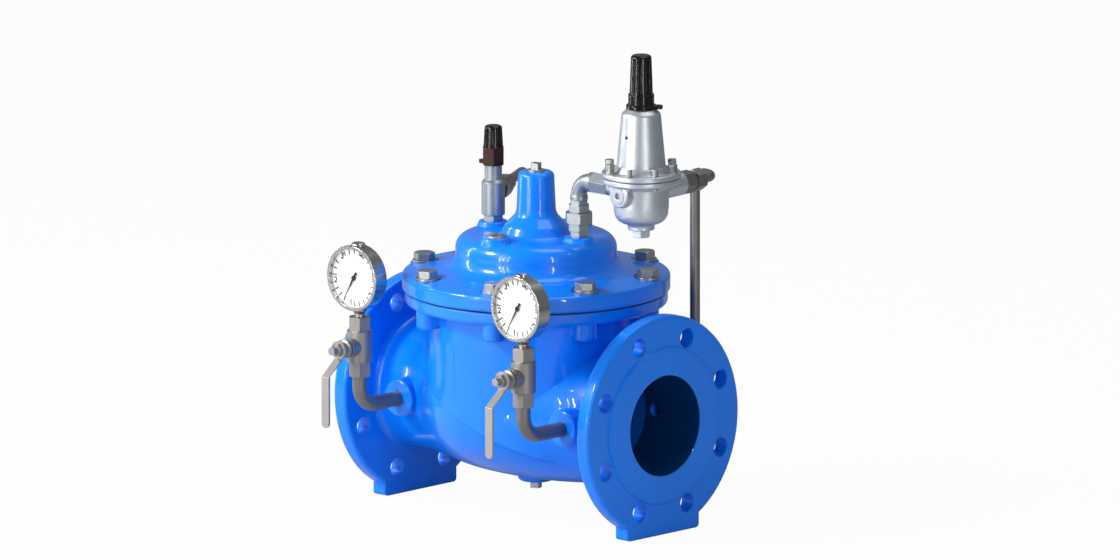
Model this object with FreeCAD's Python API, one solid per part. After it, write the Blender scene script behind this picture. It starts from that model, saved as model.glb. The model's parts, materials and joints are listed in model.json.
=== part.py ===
"""Pilot-operated pressure reducing valve, DN100 flanged, with gauges and control circuit.

Every sub-part is drawn about the valve's centre, where the stem axis crosses the pipe axis:
X runs along the pipe towards the outlet, Y to the back and Z up. The saved files are moved
along X, so that their origin is the centre of the inlet bore's mouth. Millimetres.
"""
import FreeCAD
import Part
import math
import os

# ---- driving dimensions -------------------------------------------------------------------
BORE_R = 50.0                 # nominal bore of the pipe flanges
HALF_LENGTH = 175.0           # stem axis to the raised face of either flange
FLANGE_R = 110.0
FLANGE_THICK = 16.0
RAISED_FACE = 3.0
RAISED_R = 79.0
BOLT_CIRCLE_R = 90.0
INLET_HOLE_R = 9.5
OUTLET_HOLE_R = 9.7           # top of the tolerance, so the two flanges can be told apart
FOOT_HALF_WIDTH = 51.5
FOOT_Z = -110.0

NECK_R = 65.0                 # outside of the pipe necks
CHAMBER_R = 110.0             # outside of the round chamber under the cover
CHAMBER_LOW_Z = -5.0          # the chamber's wall ends on a plane that falls to the outlet
CHAMBER_SLANT = 22.8          # degrees
# station along X, half width and half height of the casting's oval sections
BELLY_OVALS = [(-152, 65.02, 65.0), (-115, 68, 66.2), (-85, 79, 69), (-55, 93, 71.5), (0, 104, 73),
               (55, 95, 71.5), (85, 80, 69), (115, 68, 66.2), (152, 65.02, 65.0)]
BODY_FLANGE_R = 130.4
JOINT_Z = 113.5               # top face of the body flange
DIAPHRAGM_THICK = 1.8
COVER_Z = JOINT_Z + DIAPHRAGM_THICK
COVER_R = 132.8
COVER_FLANGE_Z = 131.0
COVER_BOLT_R = 118.0
BOLT_SEAT_Z = 132.6           # flat pads under the washers
WASHER_THICK = 2.5
DOME_R = 80.0
DOME_Z = 170.0
TOWER_TOP_Z = 233.0
SEAT_Z = 22.0                 # floor of the chamber round the seat
STEM_R = 8.0

PORT_R = 58.0                 # the four cover ports sit on this circle
PORT_TOP_Z = 175.0
GAUGE_X = 110.7               # gauge bosses, either side of the stem axis
REAR_X = 114.0                # tube bosses at the back
BOSS_Y = 82.6
REAR_Y = 108.0                # vertical runs of the control tubes
TUBE_R = 5.0

GAUGE_Y = -137.0              # axis of the gauge valve and the gauge
LEVER_Z = 61.7
DIAL_Z = 131.0
DIAL_FRONT_Y = -149.5
POINTER_REST = 210.0          # clockwise from the top of the dial, seen from the front

PILOT_X = 142.2
PILOT_PORT_Z = 232.0
PILOT_SEAM_Z = 247.0
PILOT_BOLT_R = 33.5
COIL_POINTS = 12              # per turn of a spring
NEEDLE_PORT_Z = 203.0

EIGHT = [22.5 + 45.0 * k for k in range(8)]
PILOT_TALL = [22.5, 67.5, 202.5, 247.5]
PILOT_PLAIN = [112.5, 157.5, 292.5, 337.5]
FIT = 0.05                    # running clearance on radius

UP = FreeCAD.Vector(0, 0, 1)
FRONT = FreeCAD.Vector(0, -1, 0)
BACK = FreeCAD.Vector(0, 1, 0)
RIGHT = FreeCAD.Vector(1, 0, 0)
LEFT = FreeCAD.Vector(-1, 0, 0)


def at(x, y, z):
    return FreeCAD.Vector(x, y, z)


def place(shape, origin, axis=UP, turn=0.0):
    """Turn a shape drawn about +Z by an angle, point it along an axis and move it."""
    shape = shape.copy()
    spin = FreeCAD.Rotation(UP, turn)
    shape.Placement = FreeCAD.Placement(origin, FreeCAD.Rotation(UP, axis).multiply(spin))
    return shape


def rounded_wire(corners):
    """Closed outline in the XZ plane from (x, z) or (x, z, corner radius) points."""
    points = [at(c[0], 0, c[1]) for c in corners]
    radii = [c[2] if len(c) > 2 else 0.0 for c in corners]
    return Part.Wire(bent_edges(points, radii, closed=True))


def bent_edges(points, radii, closed=False):
    """Straight runs through the points, with a tangent arc at each point that has a radius."""
    count = len(points)
    joints = []
    for i, point in enumerate(points):
        inner = closed or 0 < i < count - 1
        if not inner or radii[i] <= 0:
            joints.append((point, None, point))
            continue
        to_last = (points[i - 1] - point).normalize()
        to_next = (points[(i + 1) % count] - point).normalize()
        half = to_last.getAngle(to_next) / 2
        reach = radii[i] / math.tan(half)
        middle = (to_last + to_next).normalize() * (radii[i] / math.sin(half) - radii[i])
        joints.append((point + to_last * reach, point + middle, point + to_next * reach))
    edges = []
    for i, (start, middle, end) in enumerate(joints):
        if middle is not None:
            edges.append(Part.Arc(start, middle, end).toShape())
        if i < count - 1 or closed:
            following = joints[(i + 1) % count][0]
            if end.distanceToPoint(following) > 1e-6:
                edges.append(Part.LineSegment(end, following).toShape())
    return edges


def turned(corners, origin=at(0, 0, 0), axis=UP):
    """Solid of revolution from an outline of (radius, height, corner radius) points."""
    face = Part.Face(rounded_wire(corners))
    return place(face.revolve(at(0, 0, 0), UP, 360), origin, axis)


def rod(radius, length, origin, axis=UP):
    return place(Part.makeCylinder(radius, length), origin, axis)


def ring(outer, inner, length, origin, axis=UP):
    return rod(outer, length, origin, axis).cut(rod(inner, length, origin, axis))


def hexagon(across_flats, length, origin, axis=UP, turn=0.0, chamfer=0.1):
    """Hexagonal bar with its corners turned off at both ends."""
    corner = across_flats / math.sqrt(3)
    sides = [at(corner * math.cos(math.radians(60 * k)),
                corner * math.sin(math.radians(60 * k)), 0) for k in range(7)]
    bar = Part.Face(Part.makePolygon(sides)).extrude(at(0, 0, length))
    inset = across_flats / 2 * (1 + chamfer * 0.2)
    slope = (corner - inset) * 0.6
    cone = turned([(0, 0), (inset, 0), (corner + 0.1, slope), (corner + 0.1, length - slope),
                   (inset, length), (0, length)])
    return place(bar.common(cone), origin, axis, turn)


def square(side, length, origin, axis=UP, turn=0.0):
    block = Part.makeBox(side, side, length, at(-side / 2, -side / 2, 0))
    edges = [e for e in block.Edges if abs(e.BoundBox.ZLength - length) < 1e-6]
    return place(block.makeFillet(side * 0.1, edges), origin, axis, turn)


def pipe(points, radii, radius, inner=0.0):
    """Round bar or tube along straight runs joined by tangent arcs."""
    path = Part.Wire(bent_edges(points, radii))
    start_dir = points[1] - points[0]

    def sweep(r):
        circle = Part.Wire(Part.Circle(points[0], start_dir, r).toShape())
        return path.makePipeShell([circle], True, False)

    outer = sweep(radius)
    return outer.cut(sweep(inner)) if inner > 0 else outer


def fused(shapes):
    whole = shapes[0].multiFuse(shapes[1:]) if len(shapes) > 1 else shapes[0]
    return whole.removeSplitter()


def around(shape, angles, radius=0.0):
    """Copies of a shape drawn on the Z axis, set out at a radius or turned about Z."""
    copies = []
    for angle in angles:
        copy = shape.copy()
        copy.translate(at(radius, 0, 0))
        copy.rotate(at(0, 0, 0), UP, angle)
        copies.append(copy)
    return copies


def save(name, *solids):
    shape = solids[0] if len(solids) == 1 else Part.makeCompound(solids)
    shape = shape.copy()
    shape.translate(at(HALF_LENGTH, 0, 0))
    whole = shape.Solids and all(s.isValid() and s.Volume > 0 for s in shape.Solids)
    print(f"{name:28s} solids {len(shape.Solids):3d}  volume {shape.Volume / 1000:9.2f} cm3"
          f"{'' if whole else '  NOT VALID'}")
    shape.exportStep(f"parts/{name}.step")


def hex_socket(across_flats, depth, origin, axis):
    return hexagon(across_flats, depth, origin, axis, 0, 0.0)


# ---- valve body ---------------------------------------------------------------------------
def pipe_flange(side):
    """Pipe flange with its foot and the neck's flare, on the inlet (-1) or outlet (+1) side."""
    back = HALF_LENGTH - RAISED_FACE - FLANGE_THICK
    face = HALF_LENGTH - RAISED_FACE
    radius = OUTLET_HOLE_R if side > 0 else INLET_HOLE_R
    flare = turned([(0, 30), (NECK_R, 30), (NECK_R, back, 7), (FLANGE_R, back, 3.5),
                    (FLANGE_R, face, 3.5), (RAISED_R, face), (RAISED_R - 1, HALF_LENGTH),
                    (0, HALF_LENGTH)], axis=RIGHT)
    foot = Part.makeBox(FLANGE_THICK, 2 * FOOT_HALF_WIDTH, 50,
                        at(back, -FOOT_HALF_WIDTH, FOOT_Z))
    corners = [e for e in foot.Edges
               if e.BoundBox.XLength > 1 and e.CenterOfMass.z < FOOT_Z + 1]
    foot = foot.makeFillet(4, corners)
    shape = flare.fuse(foot)
    holes = [rod(radius, 60, at(back - 20, BOLT_CIRCLE_R * math.cos(math.radians(a)),
                                     BOLT_CIRCLE_R * math.sin(math.radians(a))), RIGHT)
             for a in EIGHT]
    spot_faces = [rod(15.5, 12, at(back - 12, BOLT_CIRCLE_R * math.cos(math.radians(a)),
                                   BOLT_CIRCLE_R * math.sin(math.radians(a))), RIGHT)
                  for a in EIGHT]
    shape = shape.cut(Part.makeCompound(holes)).cut(Part.makeCompound(spot_faces))
    return shape if side > 0 else shape.mirror(at(0, 0, 0), RIGHT)


def side_boss(x, side):
    """Tapped boss for a gauge pipe (front, -1) or a control tube (back, +1)."""
    return turned([(0, 40), (26, 40), (19, 62, 5), (19, BOSS_Y, 3), (0, BOSS_Y)],
                  at(x, 0, 0), BACK if side > 0 else FRONT)


def belly():
    """Smooth middle of the casting: ovals along X that swell to the front and back."""
    sections = []
    for x, half_width, half_height in BELLY_OVALS:
        oval = Part.Ellipse(at(x, half_width, 0), at(x, 0, half_height), at(x, 0, 0))
        sections.append(Part.Wire(oval.toShape()))
    return Part.makeLoft(sections, True)


def body_outside():
    chamber = turned([(0, -60), (CHAMBER_R - 2.5, -60), (CHAMBER_R, 70), (CHAMBER_R, 101, 5),
                      (BODY_FLANGE_R, 101, 4), (BODY_FLANGE_R, JOINT_Z), (0, JOINT_Z)])
    below = Part.makeBox(400, 300, 200, at(-200, -150, -200))
    below.rotate(at(0, 0, 0), BACK, CHAMBER_SLANT)
    below.translate(at(0, 0, CHAMBER_LOW_Z))
    chamber = chamber.cut(below)
    lug = turned([(0, 84), (11, 84, 3), (11, 104), (0, 104)])
    lug = lug.fuse(Part.makeBox(16, 22, 17, at(-18, -11, 86.9)))
    lugs = around(lug, EIGHT, COVER_BOLT_R)
    drain = turned([(0, -79), (17.5, -79, 4), (19, -66, 4), (27, -58), (27, -50), (0, -50)])
    bosses = [side_boss(x, -1) for x in (-GAUGE_X, GAUGE_X)]
    bosses += [side_boss(x, 1) for x in (-REAR_X, REAR_X)]
    return fused([belly(), chamber, drain, pipe_flange(-1), pipe_flange(1)] + lugs + bosses)


def slab(corners, half_width):
    """Outline in the XZ plane, pushed out to both sides of it."""
    outline = Part.Face(rounded_wire(corners))
    outline.translate(at(0, -half_width, 0))
    return outline.extrude(at(0, 2 * half_width, 0))


def body_inside():
    """Water passages: inlet below the seat, outlet over it, with the bridge wall between."""
    widening = turned([(0, -104), (BORE_R, -104), (60, -44), (60, 44), (BORE_R, 104), (0, 104)],
                      axis=RIGHT)
    mouth = turned([(0, 104), (BORE_R, 104), (BORE_R, HALF_LENGTH - 1), (BORE_R + 2, HALF_LENGTH + 1),
                    (0, HALF_LENGTH + 1)], axis=RIGHT)
    inlet_bowl = turned([(0, -63), (30, -63, 20), (56, -40, 20), (56, 8, 6), (0, 8)])
    inlet_link = slab([(-104, 52), (-104, -52), (-30, -58), (0, -58), (0, 7), (-55, 7, 8)], 53)
    inlet = fused([mouth.mirror(at(0, 0, 0), RIGHT), inlet_link.common(widening), inlet_bowl])
    chamber = turned([(0, SEAT_Z), (62, SEAT_Z, 4), (99, 64, 10), (99, JOINT_Z + 1),
                      (0, JOINT_Z + 1)])
    outlet_link = slab([(40, 60), (40, -52), (104, -52), (104, 52), (94, 61)], 53)
    around_bowl = rod(65, 90, at(0, 0, -90 + SEAT_Z))
    outlet_link = outlet_link.common(widening.fuse(Part.makeBox(64, 80, 60, at(40, -40, 10))))
    outlet = fused([mouth, chamber, outlet_link.cut(around_bowl)])
    return inlet, outlet


def valve_body():
    inlet, outlet = body_inside()
    shape = body_outside().cut(inlet).cut(outlet)
    shape = shape.cut(rod(54, 20, at(0, 0, 6)))
    tappings = [rod(7.3, 50, at(x, -BOSS_Y - 1, 0), BACK) for x in (-GAUGE_X, GAUGE_X)]
    tappings += [rod(6.5, 50, at(x, BOSS_Y + 1, 0), FRONT) for x in (-REAR_X, REAR_X)]
    tappings.append(rod(6.5, 30, at(0, 0, -80)))
    tappings += around(rod(6.0, 34, at(0, 0, 82)), EIGHT, COVER_BOLT_R)
    return shape.cut(Part.makeCompound(tappings))


def seat_ring():
    """Screwed-in seat with a raised lip and a three-armed guide for the stem's lower end."""
    shell = turned([(45, 7), (54, 7, 0.5), (54, 24, 1), (50.5, 25, 0.5), (50, 27, 0.6),
                    (47, 27, 0.6), (45, 24)])
    hub = ring(15, STEM_R + FIT, 18, at(0, 0, -8))
    arm = Part.makeBox(34, 5, 9, at(13, -2.5, 7))
    bottom = Part.makeBox(12, 5, 10, at(12, -2.5, -2))
    arms = [a.common(rod(46, 40, at(0, 0, -10))) for a in around(fused([arm, bottom]), [90, 210, 330])]
    return fused([shell, hub] + arms)


# ---- cover --------------------------------------------------------------------------------
def port_angles():
    return [0, 90, 180, 270]


def cover():
    flange = turned([(0, COVER_Z), (COVER_R, COVER_Z, 1.5), (COVER_R, COVER_FLANGE_Z, 4),
                     (97, 136.5), (DOME_R, 138, 15), (DOME_R, DOME_Z, 14), (35.5, DOME_Z, 5),
                     (31.5, 179, 8), (21.5, 189, 7), (19.6, 194, 8), (17.8, TOWER_TOP_Z, 5),
                     (0, TOWER_TOP_Z)])
    seat = turned([(0, 124), (14, 124), (14, BOLT_SEAT_Z), (0, BOLT_SEAT_Z)])
    seats = around(seat, EIGHT, COVER_BOLT_R)
    boss = turned([(0, 160), (17, 160), (16.5, 169, 4), (14, PORT_TOP_Z, 2), (0, PORT_TOP_Z)])
    bosses = around(boss, port_angles(), PORT_R)
    shape = fused([flange] + seats + bosses)
    hollow = turned([(0, COVER_Z - 1), (99, COVER_Z - 1), (99, 121, 6), (71, 131, 8), (71, 161, 12),
                     (15, 161), (13, 163), (13, 190), (12, 191), (12, 223, 3), (0, 223)])
    holes = around(rod(6.6, 30, at(0, 0, 150)), port_angles(), PORT_R)
    holes += around(rod(6.6, 24, at(0, 0, COVER_Z - 1)), EIGHT, COVER_BOLT_R)
    holes += around(rod(14.0, 12, at(0, 0, BOLT_SEAT_Z)), EIGHT, COVER_BOLT_R)
    holes.append(rod(6.5, 14, at(0, 0, 221)))
    return shape.cut(hollow).cut(Part.makeCompound(holes))


def cover_bolt():
    base = BOLT_SEAT_Z + WASHER_THICK
    head = hexagon(18.5, 7.5, at(0, 0, base), turn=15)
    shank = turned([(0, 83), (5, 83), (6, 84), (6, base), (0, base)])
    return fused([head, shank])


def cover_fastening():
    save("cover_bolts", *around(cover_bolt(), EIGHT, COVER_BOLT_R))
    washer = ring(12, 6.4, WASHER_THICK, at(0, 0, BOLT_SEAT_Z))
    save("cover_washers", *around(washer, EIGHT, COVER_BOLT_R))


def cover_plugs():
    """Tower plug with a square head, and the plugs of the front and rear ports."""
    tower = fused([turned([(0, 222), (6.5, 222), (6.5, TOWER_TOP_Z), (8.5, TOWER_TOP_Z),
                           (8.5, 234.6, 0.5), (0, 234.6)]),
                   square(8.4, 7, at(0, 0, 234), turn=20)])
    flush = turned([(0, 162), (6.6, 162), (6.6, PORT_TOP_Z), (10.4, PORT_TOP_Z),
                    (10.4, PORT_TOP_Z + 1.6, 0.6), (0, PORT_TOP_Z + 1.6)])
    flush = flush.cut(hex_socket(8, 8, at(0, 0, PORT_TOP_Z - 6), UP))
    save("cover_plugs", tower, *around(flush, [90, 270], PORT_R))


def drain_plug():
    return fused([turned([(0, -80.5), (8, -80.5), (8, -79), (6.5, -79), (6.5, -66), (0, -66)]),
                  square(9.5, 6.5, at(0, 0, -86.5), turn=25)])


# ---- moving parts of the main valve -------------------------------------------------------
def helix_spring(radius, wire_r, bottom, top, turns, origin=at(0, 0, 0)):
    """Open coil: a round wire swept along a smooth curve through points of a helix."""
    rise = (top - bottom - 2 * wire_r) / (turns * COIL_POINTS)
    points = [at(radius * math.cos(2 * math.pi * i / COIL_POINTS),
                 radius * math.sin(2 * math.pi * i / COIL_POINTS), bottom + wire_r + rise * i)
              for i in range(turns * COIL_POINTS + 1)]
    curve = Part.BSplineCurve()
    curve.interpolate(points)
    start = Part.Circle(points[0], curve.tangent(0)[0], wire_r).toShape()
    coil = Part.Wire(curve.toShape()).makePipeShell([Part.Wire(start)], True, True)
    coil.translate(origin)
    return coil


def main_trim():
    save("main_stem", turned([(0, -6), (7, -6), (STEM_R, -5), (STEM_R, 196), (7, 197), (0, 197)]))
    fit = STEM_R
    save("main_disc", turned([(fit, 33.5), (54, 33.5, 1.5), (54, 40, 2), (26, 46, 4), (15, 60, 3),
                              (15, 92), (fit, 92)]))
    save("disc_seal", turned([(38, 27.3), (53, 27.3), (53, 33.5), (38, 33.5)]))
    save("seal_retainer", turned([(fit, 22), (34, 22, 2), (42, 25, 1), (42, 27.3), (38, 27.3),
                                  (38, 33.5), (fit, 33.5)]))
    lower = turned([(fit, 92), (50, 92, 3), (60, 97, 3), (60, 99.5), (fit, 99.5)])
    upper = turned([(fit, 101.5), (60, 101.5), (60, 104, 2), (48, 106, 2), (fit, 106)])
    save("diaphragm_plates", lower, upper)
    save("stem_nut", hexagon(24, 10, at(0, 0, 106)).cut(rod(fit, 12, at(0, 0, 105))))
    sheet = turned([(fit, 99.5), (62, 99.5, 2), (80, 106, 8), (97, JOINT_Z, 4), (129, JOINT_Z),
                    (129, COVER_Z), (96.5, COVER_Z, 4), (79.5, 107.8, 8), (61.5, 101.5, 2),
                    (fit, 101.5)])
    holes = around(rod(6.6, 10, at(0, 0, JOINT_Z - 4)), EIGHT, COVER_BOLT_R)
    save("main_diaphragm", sheet.cut(Part.makeCompound(holes)))
    save("main_spring", helix_spring(24, 2.0, 106.2, 160.8, 5))
    save("stem_bearing", turned([(STEM_R + FIT, 158), (18, 158), (18, 161), (13, 161), (13, 190),
                                 (STEM_R + FIT, 190)]))


# ---- gauge groups -------------------------------------------------------------------------
def gauge_pipe(x):
    points = [at(x, -BOSS_Y + 14, 0), at(x, GAUGE_Y, 0), at(x, GAUGE_Y, 36)]
    return pipe(points, [0, 21, 0], 7.3, 5.0)


def gauge_valve(x):
    """Ball valve body with a hexagon at each end and a branch for the operating stem."""
    origin = at(x, GAUGE_Y, 0)
    body = fused([hexagon(20.5, 15, origin + at(0, 0, 31), turn=12),
                  rod(12.5, 31, origin + at(0, 0, 46)),
                  hexagon(20.5, 14, origin + at(0, 0, 77), turn=12),
                  rod(9.8, 19.5, origin + at(0, 0, LEVER_Z), FRONT)])
    inside = [rod(7.3, 5.2, origin + at(0, 0, 30.9)), rod(5, 58, origin + at(0, 0, 36)),
              Part.makeSphere(8.5, origin + at(0, 0, LEVER_Z)),
              rod(4.05, 25, origin + at(0, 0, LEVER_Z), FRONT),
              rod(5.2, 10, origin + at(0, 0, 84))]
    return body.cut(fused(inside))


def gauge_gland(x):
    return turned([(4.05, 19.5), (8.2, 19.5), (8.2, 21), (9.6, 21), (9.6, 23.2, 0.5), (7, 24.5),
                   (7, 27.4), (4.05, 27.4)], at(x, GAUGE_Y, LEVER_Z), FRONT)


def ball_and_stem(x):
    centre = at(x, GAUGE_Y, LEVER_Z)
    ball = Part.makeSphere(8.2, centre).cut(rod(5, 20, centre - at(0, 0, 10)))
    stem = rod(4, 34, centre + at(0, -7.4, 0), FRONT).cut(Part.makeSphere(8.3, centre))
    return [ball, stem]


def lever(x):
    """Flat handle that steps outwards twice below its eye, and hangs along the pipe when open."""
    half, thick = 4.7, 2.4
    outline = [(-165.8, 52), (-165.8, 70), (-168.2, 70), (-168.2, 52.6), (-187.2, 37), (-187.2, -10),
               (-184.8, -10), (-184.8, 38), (-165.8, 52)]
    strip = Part.Face(Part.makePolygon([at(0, y, z) for y, z in outline]))
    strip.translate(at(-half, 0, 0))
    strip = strip.extrude(at(2 * half, 0, 0))
    eye = rod(9.2, thick, at(0, -165.8, LEVER_Z), FRONT)
    end = rod(half, thick, at(0, -184.8, -9.5), FRONT)
    keep = Part.makeBox(2 * half, 40, 71.5, at(-half, -200, -9.5))
    shape = fused([strip.common(keep), eye, end])
    shape = shape.cut(rod(4, 10, at(0, -160, LEVER_Z), FRONT))
    shape.translate(at(x, 0, 0))
    return shape


def lever_nut(x):
    return hexagon(12, 4.2, at(x, -168.2, LEVER_Z), FRONT, 10).cut(
        rod(4, 10, at(x, -165, LEVER_Z), FRONT))


def gauge(prefix, x):
    centre = at(x, DIAL_FRONT_Y, DIAL_Z)
    case = turned([(0, 0), (29, 0, 3), (32.3, 2, 2.5), (32.3, 15.8), (33, 16.2), (33, 19.6, 0.8),
                   (29.6, 19.6, 0.4), (29.6, 14), (0, 14)], centre + at(0, 19.6, 0), FRONT)
    neck = fused([rod(5.2, 16, at(x, GAUGE_Y, 84)),
                  turned([(0, 94), (5.2, 94), (7.5, 97.5), (7.5, 104), (0, 104)],
                         at(x, GAUGE_Y, 0))]).common(Part.makeBox(40, 40, 80, at(x - 20, -170, 84)))
    bump = turned([(0, 28), (7, 28), (7, 35, 2.2), (0, 35)], centre + at(0, 10.5, 0))
    cavity = rod(29.6, 5.6, centre, BACK)
    save(prefix + "_gauge_case", fused([case, neck, bump]).cut(cavity).cut(
        rod(1.6, 8, centre + at(0, 2, 0), BACK)))
    save(prefix + "_gauge_dial", ring(29.6, 1.6, 1.0, centre + at(0, 4.6, 0), BACK))
    save(prefix + "_gauge_lens", rod(29.6, 1.4, centre + at(0, 0.4, 0), BACK))
    blade = Part.Face(Part.makePolygon([at(-1.3, 0, -7), at(1.3, 0, -7), at(0.9, 0, 6),
                                        at(0.25, 0, 24), at(-0.25, 0, 24), at(-0.9, 0, 6),
                                        at(-1.3, 0, -7)])).extrude(at(0, 0.5, 0))
    pointer = fused([blade, rod(2.6, 0.9, at(0, -0.2, 0), BACK), rod(1.5, 4.4, at(0, 0, 0), BACK)])
    pointer.rotate(at(0, 0, 0), BACK, POINTER_REST)
    pointer.translate(centre + at(0, 3.0, 0))
    save(prefix + "_gauge_pointer", pointer)


def gauge_group(prefix, x):
    save(prefix + "_gauge_pipe", gauge_pipe(x))
    save(prefix + "_gauge_valve", gauge_valve(x))
    save(prefix + "_valve_gland", gauge_gland(x))
    save(prefix + "_ball_and_stem", *ball_and_stem(x))
    save(prefix + "_lever", lever(x))
    save(prefix + "_lever_nut", lever_nut(x))
    gauge(prefix, x)


# ---- control circuit ----------------------------------------------------------------------
def ribbed_cap(low_r, high_r, base, top, ribs, rib_r):
    """Tapered cap with vertical ribs and a rounded crown."""
    core = turned([(0, base), (low_r, base), (high_r, top, 3.2), (0, top)])
    grooves = []
    for k in range(ribs):
        groove = Part.makeCone(rib_r, rib_r * 0.8, top - base - 7, at(low_r + 0.4, 0, base + 3))
        lean = math.degrees(math.atan2(low_r - high_r, top - base))
        groove.rotate(at(low_r + 0.4, 0, base + 3), BACK, -lean)
        groove.rotate(at(0, 0, 0), UP, 360 * k / ribs)
        grooves.append(groove)
    return core.cut(Part.makeCompound(grooves))


def needle_valve():
    axis = at(-PORT_R, 0, 0)
    nipple = fused([rod(6.6, 14, axis + at(0, 0, 161)), hexagon(18.6, 6, axis + at(0, 0, 175), turn=14)])
    save("needle_nipple", nipple.cut(rod(4, 30, axis + at(0, 0, 160))))
    reach = at(-REAR_X + PORT_R, REAR_Y, 0)
    out = reach.normalize()
    port = axis + at(0, 0, NEEDLE_PORT_Z)
    body = fused([turned([(0, 181), (11.6, 181, 0.8), (11.6, 214), (8.65, 217), (8.65, 231), (0, 231)],
                         axis), rod(8, 15, port, out)])
    inside = turned([(0, 180), (6, 180), (6, 207), (4 + FIT, 207), (4 + FIT, 232), (0, 232)], axis)
    save("needle_body", body.cut(fused([inside, rod(3.5, 20, port, out)])))
    fitting = fused([hexagon(20, 14, port + out * 15, out, 10), rod(7.6, 4, port + out * 28, out)])
    fitting = fitting.cut(rod(5, 40, port + out * 10, out))
    nut = hexagon(19, 14, port + out * 32, out, 25).cut(rod(5, 40, port + out * 25, out))
    save("needle_side_fitting", fitting, nut)
    save("needle_spindle", turned([(0, 187), (1.5, 187), (4, 193), (4, 240), (0, 240)], axis)
         .cut(hex_socket(4, 5, axis + at(0, 0, 236), UP)))
    bore = turned([(0, 230), (8.8, 230), (8.8, 244), (5.5, 247), (5.5, 262), (0, 262)], axis)
    tab = Part.makeBox(6, 8, 3.2, at(-14, -4, 231.2)).fuse(rod(4, 3.2, at(-14, 0, 231.2)))
    tab = tab.cut(rod(1.6, 6, at(-14.6, 0, 230)))
    tab.translate(axis)
    cap = hexagon(20.4, 18.2, at(0, 0, 231.2), turn=14)
    ribs = ribbed_cap(9.8, 8.6, 249, 271, 14, 1.0)
    cap = fused([cap, ribs])
    cap.translate(axis)
    save("needle_cap", fused([cap, tab]).cut(bore))
    start = port + out * 40
    points = [start, at(-REAR_X, REAR_Y, NEEDLE_PORT_Z), at(-REAR_X, REAR_Y, 0), at(-REAR_X, BOSS_Y + 2, 0)]
    save("feed_tube", pipe(points, [0, 20, 13, 0], TUBE_R, 3.8))


def tube_boss_fitting(x):
    """Straight compression fitting between a boss at the back and a control tube."""
    origin = at(x, BOSS_Y, 0)
    shape = fused([rod(6.5, 22, origin + at(0, 8, 0), FRONT), hexagon(17, 7, origin, BACK, 5),
                   hexagon(15, 5, origin + at(0, 7, 0), BACK, 22)])
    shape = shape.cut(rod(4, 16, origin + at(0, 2, 0), FRONT)).cut(rod(5, 11, origin + at(0, 2, 0), BACK))
    return shape


def pilot_feed():
    """Union, elbow and hexagon nipple that carry the pilot from the cover port."""
    axis = at(PORT_R, 0, 0)
    lower = fused([rod(6.6, 14, axis + at(0, 0, 161)), hexagon(16.5, 6, axis + at(0, 0, 175), turn=14),
                   hexagon(20.2, 8, axis + at(0, 0, 180.8), turn=14),
                   turned([(0, 188), (8.5, 188), (8.5, 192), (0, 192)], axis)])
    save("union_tail", lower.cut(rod(4.5, 40, axis + at(0, 0, 160))))
    nut = hexagon(25.2, 11.2, axis + at(0, 0, 188.8), turn=18)
    nut = nut.cut(rod(8.5, 5, axis + at(0, 0, 187))).cut(rod(9.5, 20, axis + at(0, 0, 192)))
    save("union_nut", nut)
    upper = fused([rod(9.5, 8, axis + at(0, 0, 192)), hexagon(19.6, 7.6, axis + at(0, 0, 200), turn=14),
                   hexagon(16.6, 4.4, axis + at(0, 0, 207.4), turn=14),
                   turned([(0, 211.6), (8.8, 211.6, 1.2), (8.8, 217.4, 1.2), (0, 217.4)], axis),
                   pipe([axis + at(0, 0, 214), axis + at(0, 0, PILOT_PORT_Z),
                         axis + at(20, 0, PILOT_PORT_Z)], [0, 15.5, 0], 8.0),
                   turned([(0, 15.5), (10, 15.5, 1), (10, 21.8, 1), (0, 21.8)],
                          axis + at(0, 0, PILOT_PORT_Z), RIGHT)])
    inside = fused([rod(5, 30, axis + at(0, 0, 190)), rod(5, 30, axis + at(12, 0, PILOT_PORT_Z), RIGHT)])
    bend = pipe([axis + at(0, 0, 214), axis + at(0, 0, PILOT_PORT_Z), axis + at(20, 0, PILOT_PORT_Z)],
                [0, 15.5, 0], 5.0)
    save("union_elbow", upper.cut(inside.common(rod(5, 26, axis + at(0, 0, 190)))).cut(bend).cut(
        rod(5, 5, axis + at(18, 0, PILOT_PORT_Z), RIGHT)))
    nipple = hexagon(19.4, 22.2, axis + at(21.8, 0, PILOT_PORT_Z), RIGHT, 16)
    save("hex_nipple", nipple.cut(rod(5, 60, axis + at(15, 0, PILOT_PORT_Z), RIGHT)))


def pilot_body():
    axis = at(PILOT_X, 0, 0)
    port = axis + at(0, 0, PILOT_PORT_Z)
    bowl = turned([(0, 194), (13.3, 194, 1), (13.3, 199.5, 3), (26, 203, 12), (27.4, 218, 20),
                   (27.4, 238, 3), (39.3, 242, 2), (39.3, PILOT_SEAM_Z), (0, PILOT_SEAM_Z)], axis)
    inlet = turned([(0, 15), (12, 15), (12, 28.6, 1), (9.2, 28.6), (9.2, 40.2), (0, 40.2)], port, LEFT)
    outlet = turned([(0, 15), (12.5, 15), (12, 57, 2), (0, 57)], port, BACK)
    side = turned([(0, 15), (13, 15), (12, 34, 2.5), (0, 34)], port, FRONT)
    side = side.fuse(Part.makeBox(24, 19, 9, port + at(-12, -33, 1)))
    shape = fused([bowl, inlet, outlet, side])
    chamber = turned([(0, 226), (21, 226, 3), (24, 240, 4), (33 - 6, PILOT_SEAM_Z + 1), (0, 248)], axis)
    seat = fused([rod(9.4, 20, axis + at(0, 0, 201)), rod(5.5, 10, axis + at(0, 0, 218))])
    for hole in (chamber, seat, rod(7, 12, axis + at(0, 0, 190)), rod(5, 42, port, LEFT),
                 rod(5, 58, port, BACK), rod(5.5, 36, port, FRONT)):
        shape = shape.cut(hole)
    holes = [h.translated(axis) for h in around(rod(2.6, 20, at(0, 0, 238)), EIGHT, PILOT_BOLT_R)]
    return shape.cut(Part.makeCompound(holes))


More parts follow.
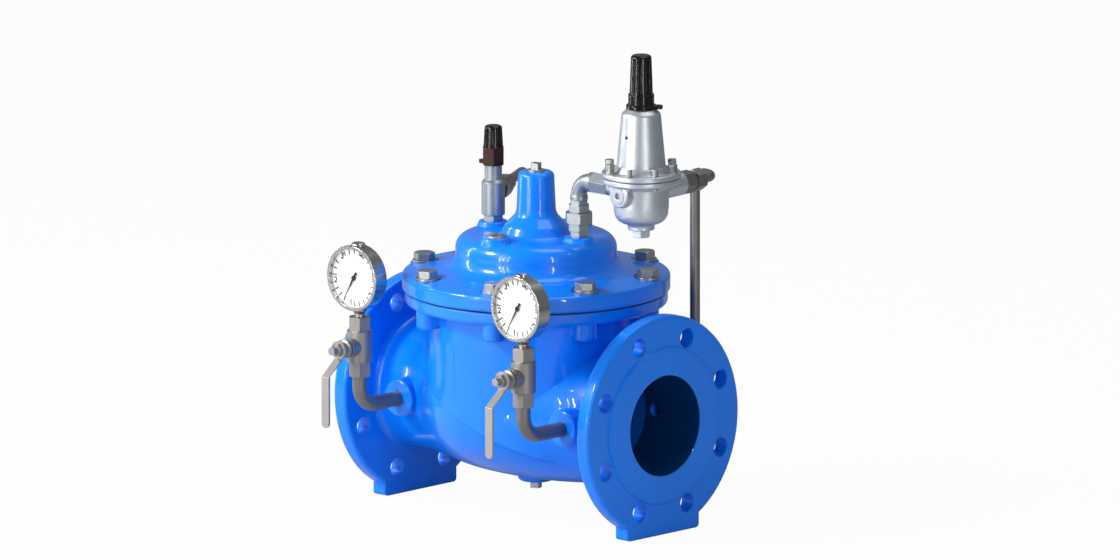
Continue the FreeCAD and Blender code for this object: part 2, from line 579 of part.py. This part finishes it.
def pilot_housing():
    axis = at(PILOT_X, 0, 0)
    shell = turned([(0, PILOT_SEAM_Z + 1.0), (39.3, PILOT_SEAM_Z + 1.0), (39.3, 253, 2),
                    (28.2, 253, 1), (25.4, 257.5, 1), (24.3, 258.5), (19.4, 311, 4.5), (14, 316), (0, 316)],
                   axis)
    spring_room = turned([(0, 240), (21, 240), (21, 262), (15.5, 306, 3), (0, 306)], axis)
    shell = shell.cut(spring_room).cut(rod(5.05, 20, axis + at(0, 0, 300)))
    holes = [h.translated(axis) for h in around(rod(2.6, 20, at(0, 0, 240)), EIGHT, PILOT_BOLT_R)]
    shell = shell.cut(Part.makeCompound(holes))
    return shell.cut(rod(1.75, 30, axis + at(0, 0, 289), FRONT))


def pilot_bolts():
    """Hexagon bolts on collars at the ports' sides, plain-headed screws between them."""
    shank = rod(2.5, 15, at(0, 0, 239))
    tall = fused([shank, rod(4.8, 1.2, at(0, 0, 253)), hexagon(7.6, 2.6, at(0, 0, 254.2)),
                  rod(3.2, 1.2, at(0, 0, 256.8)), hexagon(8.2, 4.2, at(0, 0, 257.8))])
    plain = fused([shank, rod(4.2, 0.8, at(0, 0, 253)),
                   turned([(0, 253.8), (3, 253.8), (3, 260.6, 0.7), (0, 260.6)])])
    return around(tall, PILOT_TALL, PILOT_BOLT_R) + around(plain, PILOT_PLAIN, PILOT_BOLT_R)


def pilot_valve():
    axis = at(PILOT_X, 0, 0)
    save("pilot_body", pilot_body())
    save("pilot_housing", pilot_housing())
    save("pilot_bolts", *[b.translated(axis) for b in pilot_bolts()])
    sheet = turned([(0, PILOT_SEAM_Z), (36, PILOT_SEAM_Z), (36, PILOT_SEAM_Z + 1.0),
                    (0, PILOT_SEAM_Z + 1.0)], axis)
    holes = around(rod(2.6, 20, at(0, 0, 240)), EIGHT, PILOT_BOLT_R)
    save("pilot_diaphragm", sheet.cut(Part.makeCompound([h.translated(axis) for h in holes])))
    bottom = fused([rod(7, 10, axis + at(0, 0, 192)), hexagon(16.4, 7.6, axis + at(0, 0, 186.4), turn=10)])
    port = axis + at(0, 0, PILOT_PORT_Z)
    side = rod(5.5, 9.5, port + at(0, -24.5, 0), FRONT)
    side = side.fuse(turned([(0, 34), (8, 34), (8, 34.8, 0.4), (0, 34.8)], port, FRONT))
    side = side.cut(hex_socket(6.5, 5, port + at(0, -31, 0), FRONT))
    save("pilot_plugs", bottom, side)
    save("pilot_poppet", turned([(0, 207), (7.5, 207), (7.5, 213, 1), (3, 215), (3, 244), (12, 244),
                                 (12, 246.9), (0, 246.9)], axis))
    save("pilot_spring", helix_spring(12.5, 1.6, 248.1, 292.9, 6, axis))
    save("spring_button", turned([(0, 293), (14.2, 293), (14.2, 295.5), (6, 297.5), (0, 297.5)], axis))
    save("pilot_screw", turned([(0, 298), (3.8, 298), (5, 300), (5, 332), (4, 333), (0, 333)], axis)
         .cut(hex_socket(5, 5, axis + at(0, 0, 329), UP)))
    skirt = turned([(0, 316.2), (15, 316.2), (15, 319.8, 0.8), (12.9, 320.4), (12.9, 331, 1), (0, 331)])
    tab = Part.makeBox(6, 9, 3.4, at(11, -4.5, 316.2)).fuse(rod(4.5, 3.4, at(17, 0, 316.2)))
    tab = tab.cut(rod(1.8, 6, at(17.8, 0, 315)))
    tab.rotate(at(0, 0, 0), UP, 35)
    cap = fused([skirt, ribbed_cap(11.6, 10.2, 330.5, 370, 16, 1.1), tab])
    cap = cap.cut(turned([(0, 316), (8.2, 316), (8.2, 340, 3), (0, 340)]))
    save("pilot_cap", cap.translated(axis))


def outlet_line():
    port = at(PILOT_X, 0, PILOT_PORT_Z)
    fitting = fused([hexagon(20.4, 14, port + at(0, 57, 0), BACK, 8), rod(7.6, 4, port + at(0, 70, 0), BACK)])
    fitting = fitting.cut(rod(5, 30, port + at(0, 50, 0), BACK))
    nut = hexagon(19.6, 12, port + at(0, 74, 0), BACK, 24).cut(rod(5, 30, port + at(0, 70, 0), BACK))
    save("pilot_outlet_fitting", fitting, nut)
    points = [port + at(0, 76, 0), port + at(0, REAR_Y, 0), at(REAR_X, REAR_Y, PILOT_PORT_Z),
              at(REAR_X, REAR_Y, 0), at(REAR_X, BOSS_Y + 2, 0)]
    save("outlet_tube", pipe(points, [0, 13.5, 13.5, 13, 0], TUBE_R, 3.8))
    save("tube_boss_fittings", tube_boss_fitting(-REAR_X), tube_boss_fitting(REAR_X))


os.makedirs("parts", exist_ok=True)
save("valve_body", valve_body())
save("seat_ring", seat_ring())
save("cover", cover())
cover_fastening()
cover_plugs()
save("drain_plug", drain_plug())
main_trim()
gauge_group("upstream", -GAUGE_X)
gauge_group("downstream", GAUGE_X)
needle_valve()
pilot_feed()
pilot_valve()
outlet_line()
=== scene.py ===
"""Flanged pressure reducing valve: finishes, dials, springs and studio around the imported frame."""
import bpy
import bmesh
import json
import math
from mathutils import Matrix, Vector


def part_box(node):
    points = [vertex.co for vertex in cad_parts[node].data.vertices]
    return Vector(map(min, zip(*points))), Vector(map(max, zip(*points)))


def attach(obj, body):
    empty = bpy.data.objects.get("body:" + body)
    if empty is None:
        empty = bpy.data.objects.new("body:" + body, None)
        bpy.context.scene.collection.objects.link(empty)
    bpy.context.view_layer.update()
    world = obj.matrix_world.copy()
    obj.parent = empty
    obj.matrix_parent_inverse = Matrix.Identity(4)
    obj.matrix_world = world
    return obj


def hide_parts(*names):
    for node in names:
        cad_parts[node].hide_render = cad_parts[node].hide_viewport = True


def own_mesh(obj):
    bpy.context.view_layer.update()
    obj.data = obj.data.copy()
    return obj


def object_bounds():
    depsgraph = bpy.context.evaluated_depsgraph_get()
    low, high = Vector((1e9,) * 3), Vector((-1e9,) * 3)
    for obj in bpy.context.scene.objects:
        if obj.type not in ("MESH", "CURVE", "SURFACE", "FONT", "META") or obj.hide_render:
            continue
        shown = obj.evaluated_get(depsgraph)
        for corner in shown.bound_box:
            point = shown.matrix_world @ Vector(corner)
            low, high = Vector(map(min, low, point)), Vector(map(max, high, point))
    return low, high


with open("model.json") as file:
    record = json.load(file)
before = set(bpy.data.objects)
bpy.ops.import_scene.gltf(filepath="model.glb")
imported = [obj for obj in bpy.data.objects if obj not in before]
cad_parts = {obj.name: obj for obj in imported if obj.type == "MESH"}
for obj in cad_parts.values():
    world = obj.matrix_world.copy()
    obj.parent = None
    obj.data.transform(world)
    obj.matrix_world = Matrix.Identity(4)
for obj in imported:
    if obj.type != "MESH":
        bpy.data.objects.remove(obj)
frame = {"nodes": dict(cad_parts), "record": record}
cad_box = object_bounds()

CENTRE = Vector((0.175, 0.0, 0.0))        # where the stem axis crosses the pipe axis
BORE_RADIUS = 0.0505                      # pipe bore, and a little of its mouth: how far the painted bore shade reaches
NEEDLE_HEXAGON = 0.0182                   # height of the hexagon under the needle valve's cap


# ---- camera, lights and floor -------------------------------------------------------------
AZIMUTH = math.radians(43.07)             # the camera looks past the outlet flange
ELEVATION = math.radians(11.66)
RIGHT = Vector((math.cos(AZIMUTH), math.sin(AZIMUTH), 0.0))
BACK = Vector((math.sin(AZIMUTH) * math.cos(ELEVATION),
               -math.cos(AZIMUTH) * math.cos(ELEVATION), math.sin(ELEVATION)))
ABOVE = BACK.cross(RIGHT)
VIEW_WIDTH = 1.1074
VIEW_CENTRE = CENTRE + RIGHT * 0.02358 + ABOVE * 0.1201
CAMERA_DISTANCE = 2.0
ROOM_COLOUR = (0.86, 0.93, 1.0, 1.0)      # the light of the room on the object
ROOM_GLOW = 0.26
BACKDROP_GLOW = 1.0                       # the backdrop as the camera sees it
PAPER_GLOW = 0.97                         # share of plain white in the floor that the camera sees
FLOOR_HALF = 12.0
FLOOR_GAP = 0.0005
LIGHTS_FACE = CENTRE + Vector((0, 0, 0.12))
SOFTBOXES = {                             # place from LIGHTS_FACE, width, height, power
    "key_light": ((-0.9, -1.4, 1.1), 0.40, 0.40, 36),
    "side_strip": ((1.6, -0.7, 0.30), 0.05, 1.5, 8),
    "left_strip": ((-1.5, -0.6, 0.3), 0.05, 1.5, 8),
    "middle_strip": ((-0.30, -1.9, 0.3), 0.03, 1.5, 10),
    "near_strip": ((-0.12, -1.9, 0.3), 0.015, 1.5, 6),
    "far_strip": ((0.10, -1.9, 0.3), 0.02, 1.5, 6),
    "top_light": ((0.2, 0.4, 1.5), 0.9, 0.9, 7),
}


def link(obj):
    bpy.context.scene.collection.objects.link(obj)
    return obj


def studio_camera():
    data = bpy.data.cameras.new("camera")
    data.type = "ORTHO"
    data.ortho_scale = VIEW_WIDTH
    camera = link(bpy.data.objects.new("camera", data))
    turn = Matrix((RIGHT, ABOVE, BACK)).transposed().to_4x4()
    camera.matrix_world = Matrix.Translation(VIEW_CENTRE + BACK * CAMERA_DISTANCE) @ turn
    bpy.context.scene.camera = camera


def softbox(name, place, width, height, power):
    """White rectangular area light at a place about the valve, facing its middle."""
    data = bpy.data.lights.new(name, "AREA")
    data.shape = "RECTANGLE"
    data.size = width
    data.size_y = height
    data.energy = power
    light = link(bpy.data.objects.new(name, data))
    light.location = LIGHTS_FACE + Vector(place)
    light.rotation_euler = (LIGHTS_FACE - light.location).to_track_quat("-Z", "Y").to_euler()


def studio():
    world = bpy.data.worlds.new("studio")
    world.use_nodes = True
    tree = world.node_tree
    room = tree.nodes["Background"]
    room.inputs["Color"].default_value = ROOM_COLOUR
    room.inputs["Strength"].default_value = ROOM_GLOW
    backdrop = tree.nodes.new("ShaderNodeBackground")
    backdrop.inputs["Color"].default_value = (1.0, 1.0, 1.0, 1.0)
    backdrop.inputs["Strength"].default_value = BACKDROP_GLOW
    rays = tree.nodes.new("ShaderNodeLightPath")
    mix = tree.nodes.new("ShaderNodeMixShader")
    tree.links.new(rays.outputs["Is Camera Ray"], mix.inputs[0])
    tree.links.new(room.outputs[0], mix.inputs[1])
    tree.links.new(backdrop.outputs[0], mix.inputs[2])
    tree.links.new(mix.outputs[0], tree.nodes["World Output"].inputs["Surface"])
    bpy.context.scene.world = world
    bpy.context.scene.view_settings.view_transform = "Standard"
    for name, values in SOFTBOXES.items():
        softbox(name, *values)


def floor():
    """Pale paper floor, nearly white to the camera and greyer in reflections."""
    mesh = bpy.data.meshes.new("floor")
    half = FLOOR_HALF
    low = cad_box[0][2] - FLOOR_GAP
    mesh.from_pydata([(-half, -half, low), (half, -half, low), (half, half, low), (-half, half, low)],
                     [], [(0, 1, 2, 3)])
    ground = link(bpy.data.objects.new("floor", mesh))
    paper = bpy.data.materials.new("paper")
    paper.use_nodes = True
    tree = paper.node_tree
    shader = tree.nodes["Principled BSDF"]
    shader.inputs["Base Color"].default_value = (0.55, 0.56, 0.58, 1.0)
    shader.inputs["Roughness"].default_value = 0.9
    glow = tree.nodes.new("ShaderNodeEmission")
    rays = tree.nodes.new("ShaderNodeLightPath")
    mix = tree.nodes.new("ShaderNodeMixShader")
    tree.links.new(math_node(tree, "MULTIPLY", rays.outputs["Is Camera Ray"], PAPER_GLOW), mix.inputs[0])
    tree.links.new(shader.outputs[0], mix.inputs[1])
    tree.links.new(glow.outputs[0], mix.inputs[2])
    tree.links.new(mix.outputs[0], tree.nodes["Material Output"].inputs["Surface"])
    mesh.materials.append(paper)


# ---- shader node groups -------------------------------------------------------------------
def new_group(name, inputs, outputs):
    """Empty node group with float or vector sockets; inputs map a name to a default."""
    group = bpy.data.node_groups.new(name, "ShaderNodeTree")
    for label, value in inputs.items():
        kind = "NodeSocketFloat" if isinstance(value, (int, float)) else "NodeSocketVector"
        group.interface.new_socket(label, in_out="INPUT", socket_type=kind).default_value = value
    for label, kind in outputs.items():
        group.interface.new_socket(label, in_out="OUTPUT", socket_type=kind)
    source = group.nodes.new("NodeGroupInput")
    target = group.nodes.new("NodeGroupOutput")
    return group, source, target


def math_node(tree, operation, a, b, clamp=False):
    """Math node whose operands are numbers or output sockets; returns its output."""
    node = tree.nodes.new("ShaderNodeMath")
    node.operation = operation
    node.use_clamp = clamp
    for socket, value in zip(node.inputs, (a, b)):
        if isinstance(value, (int, float)):
            socket.default_value = value
        else:
            tree.links.new(value, socket)
    return node.outputs[0]


def noise(tree, coordinates, scale, detail, roughness=0.5):
    node = tree.nodes.new("ShaderNodeTexNoise")
    node.inputs["Detail"].default_value = detail
    node.inputs["Roughness"].default_value = roughness
    tree.links.new(coordinates, node.inputs["Vector"])
    if isinstance(scale, (int, float)):
        node.inputs["Scale"].default_value = scale
    else:
        tree.links.new(scale, node.inputs["Scale"])
    return node.outputs["Fac"]


BEVEL_SAMPLES = 6
EDGE_GAIN = 6.0                           # how fast a turn of the softened normal becomes wear


def worn_edges():
    """Mask of convex and concave edges, with the softened normal that rounds them."""
    group, source, target = new_group("worn_edges", {"Width": 0.001, "Breakup": 60.0},
                                      {"Mask": "NodeSocketFloat", "Normal": "NodeSocketVector"})
    bevel = group.nodes.new("ShaderNodeBevel")
    bevel.samples = BEVEL_SAMPLES
    geometry = group.nodes.new("ShaderNodeNewGeometry")
    dot = group.nodes.new("ShaderNodeVectorMath")
    dot.operation = "DOT_PRODUCT"
    place = group.nodes.new("ShaderNodeTexCoord")
    links = group.links
    links.new(source.outputs["Width"], bevel.inputs["Radius"])
    links.new(bevel.outputs["Normal"], dot.inputs[0])
    links.new(geometry.outputs["Normal"], dot.inputs[1])
    turn = math_node(group, "SUBTRACT", 1.0, dot.outputs["Value"])
    patchy = noise(group, place.outputs["Object"], source.outputs["Breakup"], 3.0)
    sharp = math_node(group, "MULTIPLY", turn, EDGE_GAIN, clamp=True)
    links.new(math_node(group, "MULTIPLY", sharp, patchy, clamp=True), target.inputs["Mask"])
    links.new(bevel.outputs["Normal"], target.inputs["Normal"])
    return group


def surface_grain():
    """Fine and broad variation of a surface, stretched along any axis for brushed metal."""
    group, source, target = new_group(
        "surface_grain", {"Stretch": (1.0, 1.0, 1.0), "Fine Scale": 900.0, "Broad Scale": 18.0},
        {"Fine": "NodeSocketFloat", "Broad": "NodeSocketFloat"})
    place = group.nodes.new("ShaderNodeTexCoord")
    stretch = group.nodes.new("ShaderNodeVectorMath")
    stretch.operation = "MULTIPLY"
    group.links.new(place.outputs["Object"], stretch.inputs[0])
    group.links.new(source.outputs["Stretch"], stretch.inputs[1])
    fine = noise(group, stretch.outputs["Vector"], source.outputs["Fine Scale"], 4.0, 0.6)
    broad = noise(group, place.outputs["Object"], source.outputs["Broad Scale"], 5.0, 0.55)
    group.links.new(fine, target.inputs["Fine"])
    group.links.new(broad, target.inputs["Broad"])
    return group


GROUPS = {"edges": worn_edges(), "grain": surface_grain()}


def blend_colour(tree, factor, first, second):
    """Mix of two colours, each a tuple or an output socket, by a mask."""
    mix = tree.nodes.new("ShaderNodeMix")
    mix.data_type = "RGBA"
    tree.links.new(factor, mix.inputs[0])
    for socket, value in ((mix.inputs[6], first), (mix.inputs[7], second)):
        if isinstance(value, tuple):
            socket.default_value = (*value, 1.0)
        else:
            tree.links.new(value, socket)
    return mix.outputs[2]


def finish(name, light, dark, edge, roughness, metallic=0.0, stretch=(1, 1, 1), fine=900.0,
           broad=18.0, height=0.00002, width=0.0006, spread=0.12, coat=0.0, coat_roughness=0.05,
           specular=0.5):
    """Material with broad colour variation, fine grain, and worn and softened edges."""
    material = bpy.data.materials.new(name)
    material.use_nodes = True
    tree = material.node_tree
    shader = tree.nodes["Principled BSDF"]
    grain = tree.nodes.new("ShaderNodeGroup")
    grain.node_tree = GROUPS["grain"]
    grain.inputs["Stretch"].default_value = stretch
    grain.inputs["Fine Scale"].default_value = fine
    grain.inputs["Broad Scale"].default_value = broad
    edges = tree.nodes.new("ShaderNodeGroup")
    edges.node_tree = GROUPS["edges"]
    edges.inputs["Width"].default_value = width
    body = blend_colour(tree, grain.outputs["Broad"], dark, light)
    coloured = blend_colour(tree, edges.outputs["Mask"], body, edge)
    tree.links.new(coloured, shader.inputs["Base Color"])
    rough = math_node(tree, "MULTIPLY_ADD", grain.outputs["Fine"], spread)
    rough.node.inputs[2].default_value = roughness - spread / 2
    tree.links.new(rough, shader.inputs["Roughness"])
    bump = tree.nodes.new("ShaderNodeBump")
    bump.inputs["Distance"].default_value = height
    bump.inputs["Strength"].default_value = 1.0
    tree.links.new(grain.outputs["Fine"], bump.inputs["Height"])
    tree.links.new(edges.outputs["Normal"], bump.inputs["Normal"])
    tree.links.new(bump.outputs["Normal"], shader.inputs["Normal"])
    shader.inputs["Metallic"].default_value = metallic
    shader.inputs["Coat Weight"].default_value = coat
    shader.inputs["Coat Roughness"].default_value = coat_roughness
    shader.inputs["Specular IOR Level"].default_value = specular
    return material


def clear_glass():
    material = bpy.data.materials.new("lens_glass")
    material.use_nodes = True
    shader = material.node_tree.nodes["Principled BSDF"]
    shader.inputs["Base Color"].default_value = (1.0, 1.0, 1.0, 1.0)
    shader.inputs["Roughness"].default_value = 0.0
    shader.inputs["Transmission Weight"].default_value = 1.0
    shader.inputs["IOR"].default_value = 1.0
    shader.inputs["Alpha"].default_value = 0.12
    return material


def cap_plastic(name):
    return finish(name, (0.006, 0.005, 0.004), (0.003, 0.0025, 0.002), (0.014, 0.012, 0.010), 0.16,
                  height=0.000004, spread=0.05, specular=0.35)


def enamel(name):
    return finish(name, (0.0, 0.20, 0.90), (0.0, 0.18, 0.84), (0.0, 0.245, 0.93), 0.30, fine=160.0,
                  broad=9.0, height=0.000003, width=0.0035, spread=0.05, coat=0.55,
                  coat_roughness=0.015, specular=0.2)


RED_BROWN = (0.035, 0.010, 0.004)
# painted shade: a flat dark blue that stands in for the shadow inside the pipe bore; the enamel there is
# the same blue as outside
BORE_PAINTED_SHADE = (0.0, 0.04, 0.16)
FINISHES = {
    "blue_enamel": enamel("blue_enamel"),
    "seat_steel": finish("seat_steel", (0.62, 0.62, 0.61), (0.5, 0.5, 0.5), (0.8, 0.8, 0.8), 0.3, 1.0),
    "bolt_steel": finish("bolt_steel", (0.42, 0.43, 0.42), (0.28, 0.29, 0.28), (0.62, 0.63, 0.62), 0.38,
                         0.9, fine=1400.0, broad=70.0),
    "rubber": finish("rubber", (0.02, 0.02, 0.022), (0.012, 0.012, 0.013), (0.04, 0.04, 0.04), 0.7),
    "spring_steel": finish("spring_steel", (0.55, 0.55, 0.56), (0.4, 0.4, 0.41), (0.7, 0.7, 0.7), 0.3,
                           1.0),
    "bronze": finish("bronze", (0.62, 0.42, 0.18), (0.5, 0.32, 0.13), (0.8, 0.6, 0.3), 0.35, 1.0),
    "pipe_steel": finish("pipe_steel", (0.27, 0.25, 0.235), (0.19, 0.175, 0.165), (0.4, 0.38, 0.36),
                         0.42, 0.85, fine=1500.0, broad=40.0),
    "fitting_steel": finish("fitting_steel", (0.36, 0.39, 0.40), (0.27, 0.295, 0.305), (0.55, 0.57, 0.58),
                            0.42, 0.85, fine=1200.0, broad=60.0),
    "pilot_casting": finish("pilot_casting", (0.60, 0.64, 0.68), (0.50, 0.535, 0.57), (0.76, 0.78, 0.81),
                            0.42, 0.9, fine=1600.0, broad=50.0, height=0.00004, width=0.0012),
    "cap_plastic": cap_plastic("cap_plastic"),
    "valve_steel": finish("valve_steel", (0.33, 0.31, 0.29), (0.24, 0.225, 0.21), (0.46, 0.44, 0.42), 0.45,
                          0.85, fine=1500.0, broad=60.0, height=0.00004),
    "handle_steel": finish("handle_steel", (0.5, 0.47, 0.44), (0.4, 0.375, 0.35), (0.66, 0.63, 0.6), 0.4,
                           0.85, stretch=(1.0, 1.0, 0.06), fine=2600.0),
    "case_steel": finish("case_steel", (0.50, 0.48, 0.44), (0.42, 0.40, 0.365), (0.66, 0.64, 0.60), 0.22,
                         1.0, stretch=(1.0, 0.05, 1.0), fine=1600.0, spread=0.08),
    "dial_white": finish("dial_white", (0.95, 0.95, 0.95), (0.93, 0.93, 0.93), (0.95, 0.95, 0.95), 0.5),
    "pointer_black": finish("pointer_black", (0.01, 0.01, 0.01), (0.006, 0.006, 0.006), (0.02, 0.02, 0.02),
                            0.4),
    "ball_chrome": finish("ball_chrome", (0.5, 0.49, 0.47), (0.4, 0.39, 0.37), (0.7, 0.7, 0.7), 0.25, 1.0),
    "lens_glass": clear_glass(),
}


def paint_where(tree, mask, paint):
    """Puts a flat colour over a finish's own wherever the mask is 1."""
    colour = tree.nodes["Principled BSDF"].inputs["Base Color"]
    tree.links.new(blend_colour(tree, mask, colour.links[0].from_socket, paint), colour)


def needle_cap_finish():
    """Black cap whose hexagon and tab are in a red-brown plastic."""
    material = cap_plastic("needle_cap")
    tree = material.node_tree
    place = tree.nodes.new("ShaderNodeTexCoord")
    axes = tree.nodes.new("ShaderNodeSeparateXYZ")
    tree.links.new(place.outputs["Object"], axes.inputs[0])
    hexagon_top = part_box("needle_cap")[0].z + NEEDLE_HEXAGON
    paint_where(tree, math_node(tree, "LESS_THAN", axes.outputs["Z"], hexagon_top), RED_BROWN)
    return material


def body_finish():
    """Blue enamel, with the shadow inside the pipe bore painted in as a flat darker blue."""
    material = enamel("casting_enamel_painted_bore_shade")
    tree = material.node_tree
    place = tree.nodes.new("ShaderNodeTexCoord")
    across = tree.nodes.new("ShaderNodeVectorMath")
    across.operation = "MULTIPLY"
    across.inputs[1].default_value = (0.0, 1.0, 1.0)
    tree.links.new(place.outputs["Object"], across.inputs[0])
    radius = tree.nodes.new("ShaderNodeVectorMath")
    radius.operation = "LENGTH"
    tree.links.new(across.outputs[0], radius.inputs[0])
    # painted shade: inside the bore radius, the shadow is painted over the enamel as a flat dark blue
    paint_where(tree, math_node(tree, "LESS_THAN", radius.outputs["Value"], BORE_RADIUS), BORE_PAINTED_SHADE)
    return material


def dress_frame():
    """Gives every CAD node the finish of its slot; the body and the needle cap have their own."""
    own = {"needle_cap": needle_cap_finish(), "valve_body": body_finish()}
    for part in frame["record"]["subparts"]:
        obj = frame["nodes"][part["node"]]
        for index in range(max(1, len(obj.material_slots))):
            if not obj.material_slots:
                obj.data.materials.append(None)
            obj.material_slots[index].material = own.get(part["node"], FINISHES[part["material_slot"]])


# ---- dials --------------------------------------------------------------------------------
PRINT_THICK = 0.00012
NUMERALS = ((1, 190), (2, 258), (3, 321), (4, 22), (5, 80), (6, 128))   # and degrees from the top
NUMERAL_SIZE = 0.0085
NUMERAL_BOLD = 0.0003
NUMERAL_RING = 0.86                       # rings are shares of the dial's radius
TICK_COUNT = 24
TICK_RING = (0.79, 0.97)
TICK_WIDTH = 0.0013
TICK_GAP = 6                              # degrees left clear on each side of a numeral


def bar(shape, angle, inner, outer, width):
    """Thin printed stroke on a dial, at an angle clockwise from the top."""
    across = Vector((math.cos(angle), 0, -math.sin(angle))) * width / 2
    along = Vector((math.sin(angle), 0, math.cos(angle)))
    corners = [along * inner - across, along * inner + across, along * outer + across,
               along * outer - across]
    front = [shape.verts.new(c + Vector((0, -PRINT_THICK, 0))) for c in corners]
    rear = [shape.verts.new(c) for c in corners]
    shape.faces.new(front)
    shape.faces.new(rear[::-1])
    for k in range(4):
        following = (k + 1) % 4
        shape.faces.new((front[following], front[k], rear[k], rear[following]))


def numeral(text):
    """Solid numeral, upright in the XZ plane and centred on the origin."""
    curve = bpy.data.curves.new("numeral", "FONT")
    curve.body = str(text)
    curve.size = NUMERAL_SIZE
    curve.align_x = "CENTER"
    curve.align_y = "CENTER"
    curve.extrude = PRINT_THICK / 2
    curve.offset = NUMERAL_BOLD
    holder = bpy.data.objects.new("numeral", curve)
    mesh = bpy.data.meshes.new_from_object(holder)
    bpy.data.objects.remove(holder)
    mesh.transform(Matrix.Rotation(math.radians(90), 4, "X"))
    return mesh


def dial_print(prefix):
    """Scale of strokes and numerals printed round a gauge's dial."""
    low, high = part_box(prefix + "_gauge_dial")
    centre = Vector(((low.x + high.x) / 2, low.y, (low.z + high.z) / 2))
    radius = (high.x - low.x) / 2
    shape = bmesh.new()
    for k in range(TICK_COUNT):
        angle = 2 * math.pi * k / TICK_COUNT
        gap = min(abs((math.degrees(angle) - degrees + 180) % 360 - 180) for _, degrees in NUMERALS)
        if gap > TICK_GAP:
            bar(shape, angle, radius * TICK_RING[0], radius * TICK_RING[1], TICK_WIDTH)
    for text, degrees in NUMERALS:
        angle = math.radians(degrees)
        mesh = numeral(text)
        place = Vector((math.sin(angle), 0, math.cos(angle))) * radius * NUMERAL_RING
        mesh.transform(Matrix.Translation(place))
        shape.from_mesh(mesh)
        bpy.data.meshes.remove(mesh)
    bmesh.ops.translate(shape, vec=centre, verts=shape.verts)
    mesh = bpy.data.meshes.new(prefix + "_dial_print")
    shape.to_mesh(mesh)
    shape.free()
    mesh.materials.append(FINISHES["pointer_black"])
    obj = link(bpy.data.objects.new(prefix + "_dial_print", mesh))
    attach(obj, "valve")


# ---- springs ------------------------------------------------------------------------------
def soft_spring(node):
    """Copy of a spring in an object of its own that rides with the valve; the CAD spring is hidden."""
    source = frame["nodes"][node]
    obj = link(bpy.data.objects.new(node + "_coils", source.data.copy()))
    obj.matrix_world = source.matrix_world.copy()
    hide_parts(node)
    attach(obj, "valve")
    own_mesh(obj)


studio_camera()
studio()
floor()
dress_frame()
soft_spring("main_spring")
soft_spring("pilot_spring")
for side in ("upstream", "downstream"):
    dial_print(side)
